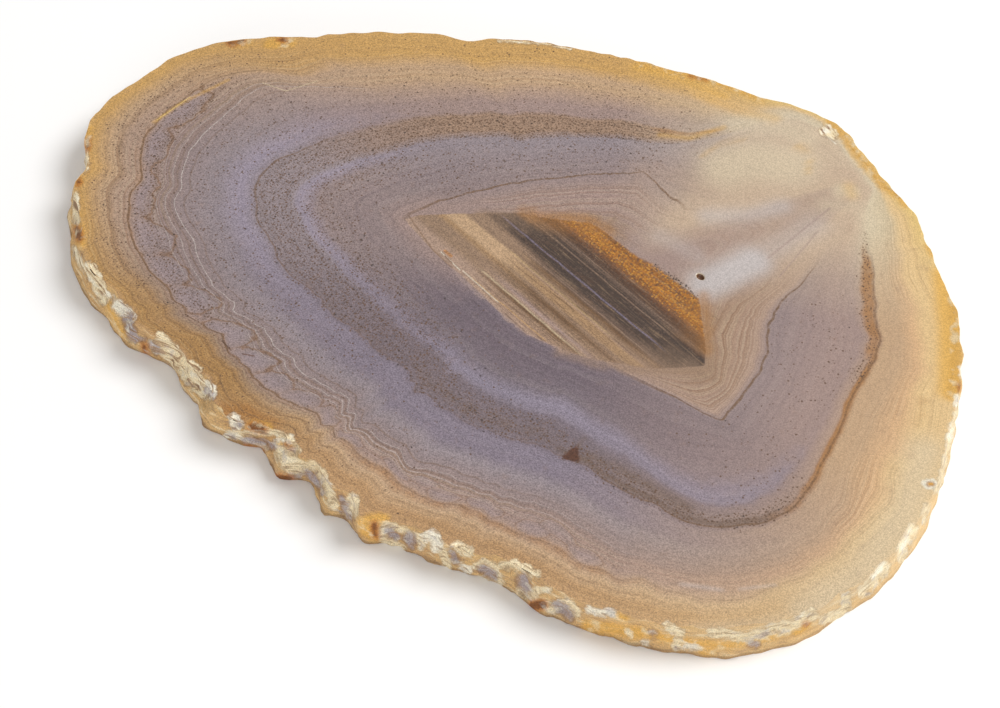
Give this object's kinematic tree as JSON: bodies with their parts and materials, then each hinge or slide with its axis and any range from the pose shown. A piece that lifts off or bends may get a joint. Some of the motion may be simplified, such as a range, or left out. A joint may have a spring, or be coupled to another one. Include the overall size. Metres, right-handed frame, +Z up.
{
  "type": "agate slice",
  "caption": "Flat polished slab of banded agate, egg-shaped, with a rough natural rind round its edge, to lie on a table as a coaster or display piece.",
  "frame": {"origin": "middle of the slab's box, on its lower flat face", "axes": "+X along the slab's longest extent towards its broad end, +Y across it, +Z up out of the polished face"},
  "size_m": [0.1244, 0.0864, 0.0055],
  "materials": {
    "agate": "banded chalcedony, polished on both flat faces, with a rough cream and rust rind round the edge"
  },
  "bodies": {
    "root": {"agate_slice": "agate"}
  },
  "joints": []
}
